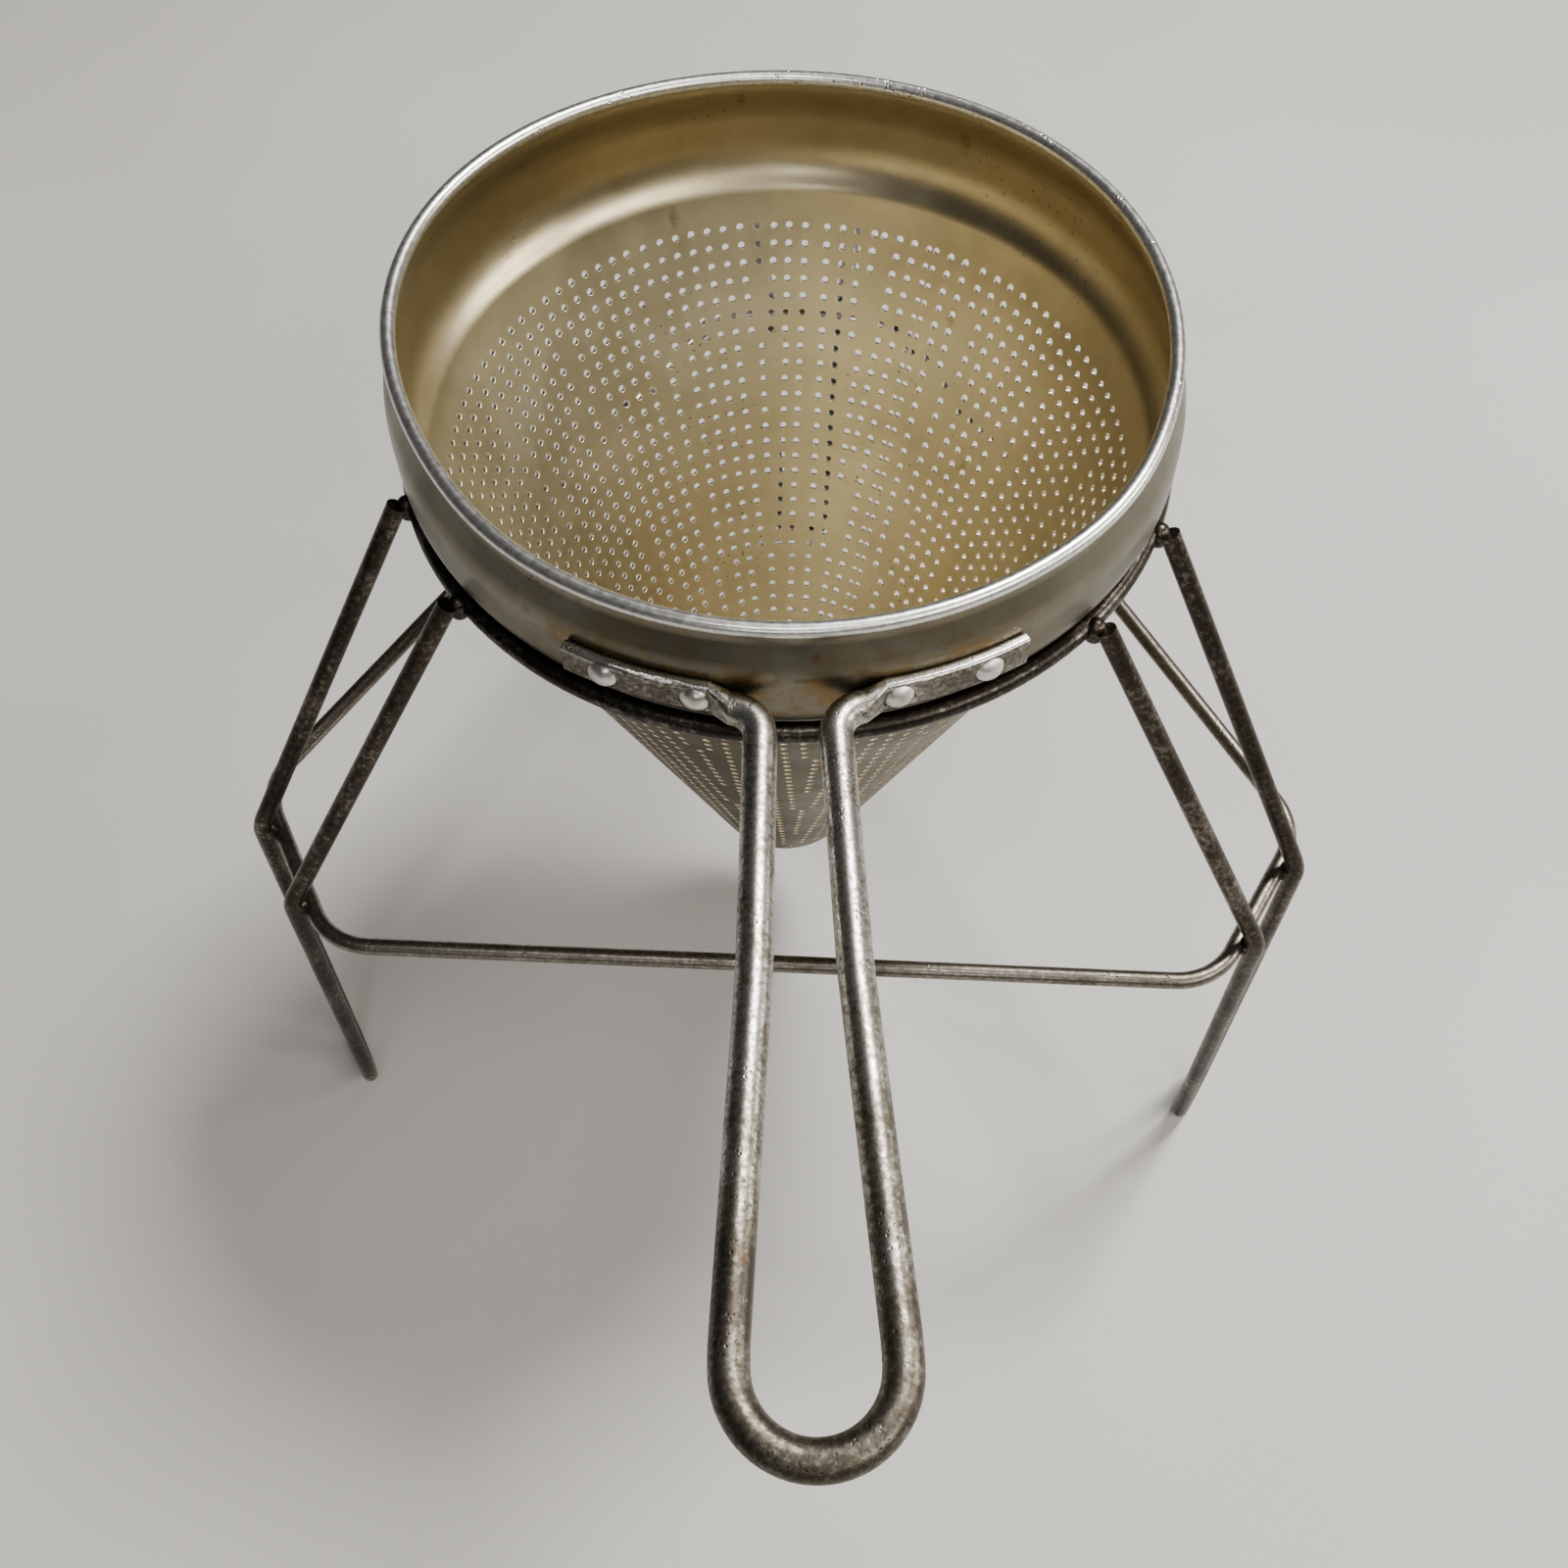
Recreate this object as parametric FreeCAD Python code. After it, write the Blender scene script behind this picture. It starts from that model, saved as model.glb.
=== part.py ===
import FreeCAD, Part

import math
import os

from FreeCAD import Matrix, Placement, Vector

# Food mill: a cone-shaped aluminium strainer hung in a three-legged wire stand.
# Units are millimetres. Z is up, the floor is Z = 0 and the stand axis is the Z axis.
# The legs stand at 90, 210 and 330 degrees; the handle points toward -Y.

# ---- driving dimensions -------------------------------------------------------------
SHEET = 1.2                  # strainer wall thickness
RIM_RADIUS = 97.0            # outer edge of the rolled rim
RIM_BEAD = 1.9               # radius of the rolled bead
RIM_TOP = 282.4
WALL_RADIUS = 99.6           # widest part of the bowl wall, outside
WALL_SHOULDER_Z = 268.5      # the wall starts to draw in toward the rim here
NECK_Z = 277.0               # bottom of the short upright neck under the bead
NOSE_RADIUS = 27.0           # round end of the cone, outside
CONE_HALF_ANGLE = 20.73
CONE_APEX_Z = -3.4           # where the straight cone would meet the axis
CREASE_Z = 246.0             # the cone turns out into the ledge here, level with the ring
LEDGE_SLOPE = 38.0           # ledge up to the wall, measured from vertical

RING_RADIUS = 97.7           # centre line of the top ring
ROD = 5.2                    # ring and leg wire
SEAT_GAP = 0.3               # between the ledge and the ring

LEG_ANGLES = {"rear": 90.0, "left": 210.0, "right": 330.0}
LEG_TOP_RADIUS = 101.0
LEG_TOP_Z = 247.2
LEG_TOP_HALF = 17.7          # half the distance between the two rods at the ring
ELBOW_RADIUS = 167.0
ELBOW_Z = 145.0
ELBOW_HALF = 14.4
ELBOW_BEND = 14.0
FOOT_RADIUS = 174.0
FOOT_HALF = 10.0
FOOT_BEND = 9.6

BRACE_WIRE = 4.9
BRACE_Z = 141.0
BRACE_LONG = 106.7           # distance of the three long sides from the axis
BRACE_BEND = 20.0

HANDLE_ROD = 7.5
HANDLE_TURN = 3.7            # the strainer sits turned by this much in the stand
HANDLE_Z = 262.5
HANDLE_END = 254.4           # centre line of the loop end
LOOP_HALF = 15.0             # half the width of the loop end
TAB_START = 8.2              # the rod starts to flatten here, degrees from the handle
TAB_END = 30.4
TAB_BLEND = 2.8              # from round to flat over this angle
TAB_THICK = 3.0
TAB_CORNER = 1.1
TAB_HEIGHT = 9.0

RIVET_ANGLES = {"outer": 24.8, "inner": 12.6}
RIVET_SHANK = 3.6
RIVET_HEAD = 7.2
RIVET_HEAD_HEIGHT = 2.0
RIVET_SINK = 0.25            # how far the heads are pressed into the tabs
RIVET_HOLE_GAP = 0.15
INNER_HEAD = 6.0
INNER_HEAD_HEIGHT = 1.0


# ---- shared helpers -----------------------------------------------------------------
def unit(v):
    return v * (1.0 / v.Length)


def bent_wire(points, bends, closed=False):
    """Polyline whose corners are rounded with the given bend radii."""
    n = len(points)
    corners = []
    for i in range(n):
        if not closed and i in (0, n - 1):
            corners.append((points[i], None, points[i]))
            continue
        here = points[i]
        before = unit(points[i - 1] - here)
        after = unit(points[(i + 1) % n] - here)
        half = before.getAngle(after) / 2.0
        reach = bends[i] / math.tan(half)
        centre = here + unit(before + after) * (bends[i] / math.sin(half))
        middle = centre + unit(here - centre) * bends[i]
        corners.append((here + before * reach, middle, here + after * reach))
    edges = []
    for i in range(n if closed else n - 1):
        start = corners[i][2]
        nxt = corners[(i + 1) % n]
        if start.distanceToPoint(nxt[0]) > 0.001:
            edges.append(Part.makeLine(start, nxt[0]))
        if nxt[1] is not None:
            edges.append(Part.Arc(nxt[0], nxt[1], nxt[2]).toShape())
    return Part.Wire(edges)


def swept_rod(wire, diameter):
    """Round rod along a wire; the section is placed at the start of the first edge."""
    first = wire.Edges[0]
    start = first.valueAt(first.FirstParameter)
    along = first.tangentAt(first.FirstParameter)
    section = Part.Wire(Part.makeCircle(diameter / 2.0, start, along))
    return Part.Solid(wire.makePipeShell([section], True, True))


def polar(angle, radius, side, z):
    """Point at a radius on a spoke, moved sideways at right angles to the spoke."""
    a = math.radians(angle)
    return Vector(
        radius * math.cos(a) - side * math.sin(a),
        radius * math.sin(a) + side * math.cos(a),
        z,
    )


# ---- strainer shell -----------------------------------------------------------------
def shell_corners():
    """Corners of the outer profile as (radius, z, bend), from the tip to the bead."""
    slope = math.tan(math.radians(CONE_HALF_ANGLE))
    tip = CONE_APEX_Z + NOSE_RADIUS * (1.0 / math.sin(math.radians(CONE_HALF_ANGLE)) - 1.0)
    crease_r = slope * (CREASE_Z - CONE_APEX_Z)
    wall_z = CREASE_Z + (WALL_RADIUS - crease_r) / math.tan(math.radians(LEDGE_SLOPE))
    neck_r = RIM_RADIUS - RIM_BEAD + SHEET / 2.0
    return [
        (0.0, tip, 0.0),
        (slope * (tip - CONE_APEX_Z), tip, NOSE_RADIUS),
        (crease_r, CREASE_Z, -4.0),
        (WALL_RADIUS, wall_z, 18.0),
        (WALL_RADIUS, WALL_SHOULDER_Z, 16.0),
        (neck_r, NECK_Z, -5.0),
        (neck_r, RIM_TOP - RIM_BEAD, 0.0),
    ]


def inset_corners(corners, depth):
    """The same profile moved inward by the sheet thickness."""
    lines = []
    for a, b in zip(corners, corners[1:]):
        dr = b[0] - a[0]
        dz = b[1] - a[1]
        length = math.hypot(dr, dz)
        nr = -dz / length
        nz = dr / length
        lines.append((a[0] + nr * depth, a[1] + nz * depth, dr / length, dz / length))
    moved = [(0.0, corners[0][1] + depth, 0.0)]
    for i in range(1, len(corners) - 1):
        r0, z0, ur, uz = lines[i - 1]
        r1, z1, vr, vz = lines[i]
        cross = ur * vz - uz * vr
        t = ((r1 - r0) * vz - (z1 - z0) * vr) / cross
        moved.append((r0 + ur * t, z0 + uz * t, corners[i][2] - depth))
    last = lines[-1]
    moved.append((last[0], corners[-1][1], 0.0))
    return moved


def profile_wire(corners):
    points = [Vector(r, 0, z) for r, z, bend in corners]
    return bent_wire(points, [abs(bend) for r, z, bend in corners])


def make_shell():
    outer = shell_corners()
    inner = inset_corners(outer, SHEET)
    outer_wire = profile_wire(outer)
    inner_wire = profile_wire(inner)
    ends = []
    for k in (0, -1):
        a = Vector(outer[k][0], 0, outer[k][1])
        b = Vector(inner[k][0], 0, inner[k][1])
        ends.append(Part.makeLine(a, b))
    outline = Part.Wire(Part.__sortEdges__(outer_wire.Edges + inner_wire.Edges + ends))
    bowl = Part.Face(outline).revolve(Vector(0, 0, 0), Vector(0, 0, 1), 360)
    bead_centre = Vector(0, 0, RIM_TOP - RIM_BEAD)
    bead = Part.makeTorus(RIM_RADIUS - RIM_BEAD, RIM_BEAD, bead_centre)
    shell = bowl.fuse(bead).removeSplitter()
    for angle in rivet_spokes().values():
        shell = shell.cut(rivet_hole(angle))
    return shell


# ---- rivets -------------------------------------------------------------------------
def rivet_spokes():
    """Rivet names and the direction of each from the axis."""
    handle = -90.0 + HANDLE_TURN
    spokes = {}
    for place, offset in RIVET_ANGLES.items():
        spokes["rivet_left_" + place] = handle - offset
        spokes["rivet_right_" + place] = handle + offset
    return spokes


def rivet_hole(angle):
    start = polar(angle, WALL_RADIUS - 8.0, 0.0, HANDLE_Z)
    return Part.makeCylinder(
        RIVET_SHANK / 2.0 + RIVET_HOLE_GAP, 20.0, start, polar(angle, 1.0, 0.0, 0.0)
    )


def rivet_seat(angle):
    """Flat pressed into the tab by the outer head."""
    start = polar(angle, WALL_RADIUS + TAB_THICK - RIVET_SINK, 0.0, HANDLE_Z)
    return Part.makeCylinder(
        RIVET_HEAD / 2.0 + RIVET_HOLE_GAP, 8.0, start, polar(angle, 1.0, 0.0, 0.0)
    )


def domed_head(width, height):
    """Low dome on the Z = 0 plane."""
    radius = (width * width / 4.0 + height * height) / (2.0 * height)
    ball = Part.makeSphere(radius, Vector(0, 0, height - radius))
    return ball.common(Part.makeCylinder(width / 2.0, height))


def make_rivet(angle):
    inside = WALL_RADIUS - SHEET - 0.03
    outside = WALL_RADIUS + TAB_THICK - RIVET_SINK + 0.01
    # built along +Z with the outer head on top, then laid along its spoke
    head = domed_head(RIVET_HEAD, RIVET_HEAD_HEIGHT)
    head.translate(Vector(0, 0, outside))
    tail = domed_head(INNER_HEAD, INNER_HEAD_HEIGHT)
    tail.rotate(Vector(0, 0, 0), Vector(1, 0, 0), 180)
    tail.translate(Vector(0, 0, inside))
    shank = Part.makeCylinder(RIVET_SHANK / 2.0, outside - inside, Vector(0, 0, inside))
    rivet = shank.fuse([head, tail]).removeSplitter()
    rivet.rotate(Vector(0, 0, 0), Vector(0, 1, 0), 90)
    rivet.rotate(Vector(0, 0, 0), Vector(0, 0, 1), angle)
    rivet.translate(Vector(0, 0, HANDLE_Z))
    return rivet


# ---- handle -------------------------------------------------------------------------
def tab_section(angle, mid_radius, half_thick, half_height, corner):
    """Closed section across the rod on the spoke at this angle: four sides, four corners."""
    spots = []
    for quarter in range(4):
        # the side that faces outward, up, inward or down, then its corner
        turn = math.radians(90.0 * quarter)
        reach, span = (half_thick, half_height) if quarter % 2 == 0 else (half_height, half_thick)
        if corner < half_thick:
            flat = span - corner
            middle = (reach, 0.0)
            bow = corner * math.sqrt(0.5)
            bend = (reach - corner + bow, flat + bow)
            after = (reach - corner, span)
        else:
            flat = span * math.sin(math.radians(25.0))
            reach_flat = span * math.cos(math.radians(25.0))
            middle = (span, 0.0)
            bend = (span * math.sqrt(0.5), span * math.sqrt(0.5))
            after = (flat, reach_flat)
            reach = reach_flat
        for x, y in ((reach, -flat), middle, (reach, flat), bend, after):
            spots.append(
                Vector(
                    x * math.cos(turn) - y * math.sin(turn),
                    x * math.sin(turn) + y * math.cos(turn),
                    0,
                )
            )
    edges = []
    for quarter in range(4):
        a, b, c, d, e = spots[5 * quarter:5 * quarter + 5]
        if corner < half_thick:
            edges.append(Part.makeLine(a, c))
        else:
            edges.append(Part.Arc(a, b, c).toShape())
        edges.append(Part.Arc(c, d, e).toShape())
    section = Part.Wire(edges)
    t = math.radians(angle)
    section.Placement = Placement(Matrix(
        math.cos(t), 0, math.sin(t), mid_radius * math.cos(t),
        math.sin(t), 0, -math.cos(t), mid_radius * math.sin(t),
        0, 1, 0, HANDLE_Z,
        0, 0, 0, 1,
    ))
    return section


def make_tab(handle, side):
    """Flattened end of the rod, following the bowl wall away from the handle."""
    radius = HANDLE_ROD / 2.0
    first = handle + side * TAB_START
    second = first + side * TAB_BLEND
    round_end = tab_section(first, WALL_RADIUS + radius, radius, radius, radius)
    flat_end = tab_section(
        second, WALL_RADIUS + TAB_THICK / 2.0, TAB_THICK / 2.0, TAB_HEIGHT / 2.0, TAB_CORNER
    )
    blend = Part.makeLoft([round_end, flat_end], True, True)
    sweep = side * (TAB_END - TAB_START - TAB_BLEND)
    bar = Part.Face(flat_end).revolve(Vector(0, 0, 0), Vector(0, 0, 1), sweep)
    return blend.fuse(bar)


def make_handle():
    handle = -90.0 + HANDLE_TURN
    start_radius = WALL_RADIUS + HANDLE_ROD / 2.0
    start_side = start_radius * math.sin(math.radians(TAB_START))
    start_out = start_radius * math.cos(math.radians(TAB_START))
    # the rod leaves the bowl along the wall, so the first corner lies on that tangent
    corner_side = 8.0
    corner_out = start_out + (start_side - corner_side) * math.tan(math.radians(TAB_START))
    half = [
        (start_side, start_out, 0.0),
        (corner_side, corner_out, 7.6),
        (10.0, 165.0, 200.0),
        (LOOP_HALF, 236.0, 60.0),
        (LOOP_HALF, HANDLE_END, LOOP_HALF - 0.1),
    ]
    outline = half + [(-s, out, bend) for s, out, bend in reversed(half)]
    points = [polar(handle, out, s, HANDLE_Z) for s, out, bend in outline]
    rod = swept_rod(bent_wire(points, [bend for s, out, bend in outline]), HANDLE_ROD)
    shape = rod.fuse([make_tab(handle, 1), make_tab(handle, -1)])
    for angle in rivet_spokes().values():
        shape = shape.cut(rivet_seat(angle)).cut(rivet_hole(angle))
    return shape.removeSplitter()


# ---- stand --------------------------------------------------------------------------
def ring_height():
    """Height of the ring's centre line, where the foot of the ledge sits on it."""
    lean = math.radians(LEDGE_SLOPE)
    crease_r = math.tan(math.radians(CONE_HALF_ANGLE)) * (CREASE_Z - CONE_APEX_Z)
    off = ROD / 2.0 + SEAT_GAP
    return CREASE_Z - (off - (RING_RADIUS - crease_r) * math.cos(lean)) / math.sin(lean)


def make_ring():
    return Part.makeTorus(RING_RADIUS, ROD / 2.0, Vector(0, 0, ring_height()))


def brace_side():
    """Distance of the short sides: just inside the leg rods at brace height."""
    share = (ELBOW_Z - BRACE_Z) / ELBOW_Z
    leg = ELBOW_RADIUS + (FOOT_RADIUS - ELBOW_RADIUS) * share
    return leg - (ROD + BRACE_WIRE) / 2.0 + 0.1


def make_brace():
    """Closed wire: a triangle with its three corners cut off at the legs."""
    short = brace_side()
    # half the short side, from where the long sides cross it
    half = (BRACE_LONG - short * math.cos(math.radians(60))) / math.sin(math.radians(60))
    points = []
    for angle in sorted(LEG_ANGLES.values()):
        points.append(polar(angle, short, -half, BRACE_Z))
        points.append(polar(angle, short, half, BRACE_Z))
    wire = bent_wire(points, [BRACE_BEND] * len(points), closed=True)
    return swept_rod(wire, BRACE_WIRE)


def weld_bead(centre, radius):
    return Part.makeSphere(radius, centre)


def make_leg(angle, ring, brace):
    """One hairpin: two rods down from the ring to a round foot, with its weld beads."""
    floor = ROD / 2.0
    half = [
        (LEG_TOP_RADIUS, LEG_TOP_HALF, LEG_TOP_Z, 0.0),
        (ELBOW_RADIUS, ELBOW_HALF, ELBOW_Z, ELBOW_BEND),
        (FOOT_RADIUS, FOOT_HALF, floor, FOOT_BEND),
    ]
    outline = half + [(r, -s, z, bend) for r, s, z, bend in reversed(half)]
    points = [polar(angle, r, s, z) for r, s, z, bend in outline]
    leg = swept_rod(bent_wire(points, [row[3] for row in outline]), ROD)
    beads = []
    for s in (-1, 1):
        # in the groove between the ring and the rod: a short upright bead
        ring_spot = math.sqrt(RING_RADIUS ** 2 - LEG_TOP_HALF ** 2)
        groove = (ring_spot + LEG_TOP_RADIUS) / 2.0
        for lift in (0.6, -1.6):
            spot = polar(angle, groove, s * LEG_TOP_HALF, ring_height() + lift)
            beads.append(weld_bead(spot, 2.6))
        # on the brace: a bead over the crossing
        brace_spot = brace_side() + BRACE_WIRE / 2.0
        beads.append(weld_bead(polar(angle, brace_spot, s * ELBOW_HALF, BRACE_Z + 1.4), 2.3))
        beads.append(weld_bead(polar(angle, brace_spot, s * ELBOW_HALF, BRACE_Z - 1.4), 2.3))
    return leg.fuse(beads).cut(ring).cut(brace).removeSplitter()


# ---- build and write ----------------------------------------------------------------
def main():
    os.makedirs("parts", exist_ok=True)
    ring = make_ring()
    brace = make_brace()
    nodes = {
        "strainer_shell": make_shell(),
        "handle": make_handle(),
        "stand_ring": ring,
        "brace": brace,
    }
    for side, angle in LEG_ANGLES.items():
        nodes["leg_" + side] = make_leg(angle, ring, brace)
    for name, angle in rivet_spokes().items():
        nodes[name] = make_rivet(angle)
    for name, shape in nodes.items():
        shape.exportStep(os.path.join("parts", name + ".step"))
        box = shape.BoundBox
        print(name, shape.isValid(), len(shape.Solids), round(shape.Volume),
              [round(v, 1) for v in (box.XMin, box.XMax, box.YMin, box.YMax, box.ZMin, box.ZMax)])


main()
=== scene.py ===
import math
import random

import bpy
import numpy as np
from mathutils import Matrix, Vector
from mathutils.geometry import delaunay_2d_cdt


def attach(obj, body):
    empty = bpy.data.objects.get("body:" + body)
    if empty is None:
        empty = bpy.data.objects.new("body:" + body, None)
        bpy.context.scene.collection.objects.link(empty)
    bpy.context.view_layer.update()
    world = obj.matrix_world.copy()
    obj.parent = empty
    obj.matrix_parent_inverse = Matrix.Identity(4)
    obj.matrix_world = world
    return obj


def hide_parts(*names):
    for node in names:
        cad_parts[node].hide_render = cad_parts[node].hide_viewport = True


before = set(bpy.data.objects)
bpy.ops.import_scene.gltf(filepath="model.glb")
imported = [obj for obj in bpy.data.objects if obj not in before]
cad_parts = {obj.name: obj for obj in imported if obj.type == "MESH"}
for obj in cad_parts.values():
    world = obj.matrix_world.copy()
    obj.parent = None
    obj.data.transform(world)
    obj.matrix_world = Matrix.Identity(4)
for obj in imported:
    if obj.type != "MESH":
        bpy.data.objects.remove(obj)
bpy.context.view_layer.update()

# Lengths in the shell section are millimetres in the part's frame; MM turns them to metres.
MM = 0.001

# ---- strainer shell profile, as in the CAD model --------------------------------------
SHEET = 1.2
RIM_RADIUS = 97.0
RIM_BEAD = 1.9
RIM_TOP = 282.4
WALL_RADIUS = 99.6
WALL_SHOULDER_Z = 268.5
NECK_Z = 277.0
NOSE_RADIUS = 27.0
CONE_HALF_ANGLE = math.radians(20.73)
CONE_APEX_Z = -3.4
CREASE_Z = 246.0
LEDGE_SLOPE = math.radians(38.0)
HANDLE_AZIMUTH = math.radians(-86.3)
CONE_SIN = math.sin(CONE_HALF_ANGLE)
CONE_COS = math.cos(CONE_HALF_ANGLE)

# Bend radii of the profile; a bend the other way is negative.
CREASE_BEND = -9.0
LEDGE_BEND = 18.0
SHOULDER_BEND = 16.0
NECK_BEND = -5.0

# ---- how far the bowl is from true ----------------------------------------------------
TRUE_BELOW = 250.0            # height where the bowl starts to leave the true shape
LEAVES_OVER = 32.0            # height that it takes
HANDLE_TRUE = math.radians(34)    # kept true this far each side of the handle
HANDLE_FADE = math.radians(40)
LOBES = (                     # size, how many round the rim, and where the first one is
    (0.5, 1, math.radians(-131)),
    (0.76, 2, math.radians(-20)),
    (1.7, 3, math.radians(40)),
)
TIP_BACK = 0.0165             # rise per millimetre towards the rear
TIP_LEFT = 0.0175             # rise per millimetre towards the left

# ---- hole pattern ---------------------------------------------------------------------
TOP_ROW = 255.9               # slant distance of the top row from the cone's apex
ROW_PITCH = 5.3
LAST_ROW = 74.5
COLUMN_PITCH = 4.95
PANELS = 16
PANEL_START = math.radians(98.2)
HOLE_RADIUS = 1.03
HOLE_LIP = 0.19               # extra radius of the rounded inner edge
HOLE_TAPER = 0.03             # extra radius at the outer surface
HOLE_THROAT = 0.3             # the rounded edge starts this far from the inner surface
HOLE_SIDES = 8
HOLE_SIZES = (0.96, 1.04)     # least and most share of the radius that a hole has
HOLE_GAP = 1.02               # least distance of two holes, as a share of touching
HOLE_STRAY = 0.08             # how far a hole strays along its row
ROW_STRAY = 0.09              # and across it
COLUMN_ROOM = 0.6             # pitches from the outermost column to the panel's edge
EDGE_ROOM = 0.92              # pitches that a column on the edge itself needs
ROWS = int((TOP_ROW - LAST_ROW) / ROW_PITCH) + 1
TOP_EDGE = TOP_ROW + ROW_PITCH / 2
LOW_EDGE = TOP_ROW - (ROWS - 0.5) * ROW_PITCH

# One panel was punched twice down its middle, the halves a little apart. Distances run
# anticlockwise from the panel's middle, seen from above.
DOUBLE_PANEL = PANELS - 2
DOUBLE_AFTER = 0.45           # first column after the middle
DOUBLE_AFTER_PITCH = 4.75
DOUBLE_BEFORE = -1.85         # first column before it
DOUBLE_MARGINS = (3.4, 3.0)   # bare strips at the panel's start and end
DOUBLE_FIRST_SIZE = 0.82      # size of the holes in those first columns
# The columns of the next panel were pushed away from its middle.
PUSHED_PANEL = PANELS - 1
PUSH = 0.8
PUSH_OUTERMOST = 0.4          # share of the push that the outermost column has

# ---- mesh -----------------------------------------------------------------------------
AROUND = 192                  # mesh columns round the shell, twelve to a panel
ANGLES = PANEL_START + math.pi / PANELS + np.arange(AROUND) * (2 * math.pi / AROUND)
HOLE_TURNS = np.arange(HOLE_SIDES) * (2 * math.pi / HOLE_SIDES)
BEND_PARTS = 10
BEAD_PARTS = 16
BOWL_STEP = 3.0               # longest stretch between two rings of the bowl
ON_AXIS = 0.05                # a ring this small is a point
EDGE_CLEAR = 0.4              # least height between a ring and the perforated part
INSIDE, OUTSIDE, BEAD = range(3)
SKINS = ((OUTSIDE, 0.0, 1), (INSIDE, SHEET, -1))    # material, depth, side of the normals
rng = random.Random(11)


def rounded(corners, arc_parts):
    """Profile points with their normals; each corner between the ends is rounded by its bend."""
    points = []
    for i, (r, z, bend) in enumerate(corners):
        if bend == 0:
            a, b = (corners[i], corners[i + 1]) if i == 0 else (corners[i - 1], corners[i])
            d = Vector((b[0] - a[0], b[1] - a[1])).normalized()
            points.append((r, z, d[1], -d[0]))
            continue
        here = Vector((r, z))
        before = (Vector(corners[i - 1][:2]) - here).normalized()
        after = (Vector(corners[i + 1][:2]) - here).normalized()
        half = before.angle(after) / 2
        centre = here + (before + after).normalized() * (abs(bend) / math.sin(half))
        start = here + before * (abs(bend) / math.tan(half)) - centre
        stop = here + after * (abs(bend) / math.tan(half)) - centre
        turn = start.angle_signed(stop)
        for k in range(arc_parts + 1):
            spoke = start.copy()
            spoke.rotate(Matrix.Rotation(-turn * k / arc_parts, 2))
            p = centre + spoke
            n = spoke.normalized() * (1 if bend > 0 else -1)
            points.append((p[0], p[1], n[0], n[1]))
    return points


def shell_corners():
    """Radius, height and bend of each corner of the outer profile, from the tip to the neck."""
    slope = math.tan(CONE_HALF_ANGLE)
    tip = CONE_APEX_Z + NOSE_RADIUS * (1 / math.sin(CONE_HALF_ANGLE) - 1)
    crease_r = slope * (CREASE_Z - CONE_APEX_Z)
    wall_z = CREASE_Z + (WALL_RADIUS - crease_r) / math.tan(LEDGE_SLOPE)
    neck = RIM_RADIUS - RIM_BEAD + SHEET / 2
    meet = RIM_TOP - RIM_BEAD - math.sqrt(RIM_BEAD ** 2 - (SHEET / 2) ** 2)
    return [
        (0.0, tip, 0.0),
        (slope * (tip - CONE_APEX_Z), tip, NOSE_RADIUS),
        (crease_r, CREASE_Z, CREASE_BEND),
        (WALL_RADIUS, wall_z, LEDGE_BEND),
        (WALL_RADIUS, WALL_SHOULDER_Z, SHOULDER_BEND),
        (neck, NECK_Z, NECK_BEND),
        (neck, meet, 0.0),
    ]


def cone_point(slant):
    """Profile point of the cone at a slant distance from its apex, with its normal."""
    return (slant * CONE_SIN, CONE_APEX_Z + slant * CONE_COS, CONE_COS, -CONE_SIN)


def in_steps(profile, step):
    """The profile with its long stretches divided."""
    finer = [profile[0]]
    for p in profile[1:]:
        q = finer[-1]
        parts = max(1, int(math.hypot(p[0] - q[0], p[1] - q[1]) / step))
        for k in range(1, parts + 1):
            t = k / parts
            finer.append(tuple(q[j] + (p[j] - q[j]) * t for j in range(4)))
    return finer


def eased(t):
    """From 0 to 1 with a soft start and end."""
    t = np.clip(t, 0, 1)
    return t * t * (3 - 2 * t)


def out_of_round(points):
    """The rim is a little oval and tipped; the part by the handle and below stays true."""
    x, y, z = points.T
    a = np.arctan2(y, x)
    away = np.abs((a - HANDLE_AZIMUTH + np.pi) % (2 * np.pi) - np.pi)
    free = eased((away - HANDLE_TRUE) / HANDLE_FADE)
    high = eased((z - TRUE_BELOW) / LEAVES_OVER)
    spread = sum(size * np.cos(count * (a - first)) for size, count, first in LOBES)
    lift = TIP_BACK * y - TIP_LEFT * x
    r = np.hypot(x, y)
    grow = 1 + free * high * spread / np.maximum(r, 1)
    return np.stack([x * grow, y * grow, z + free * high * lift], 1)


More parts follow.
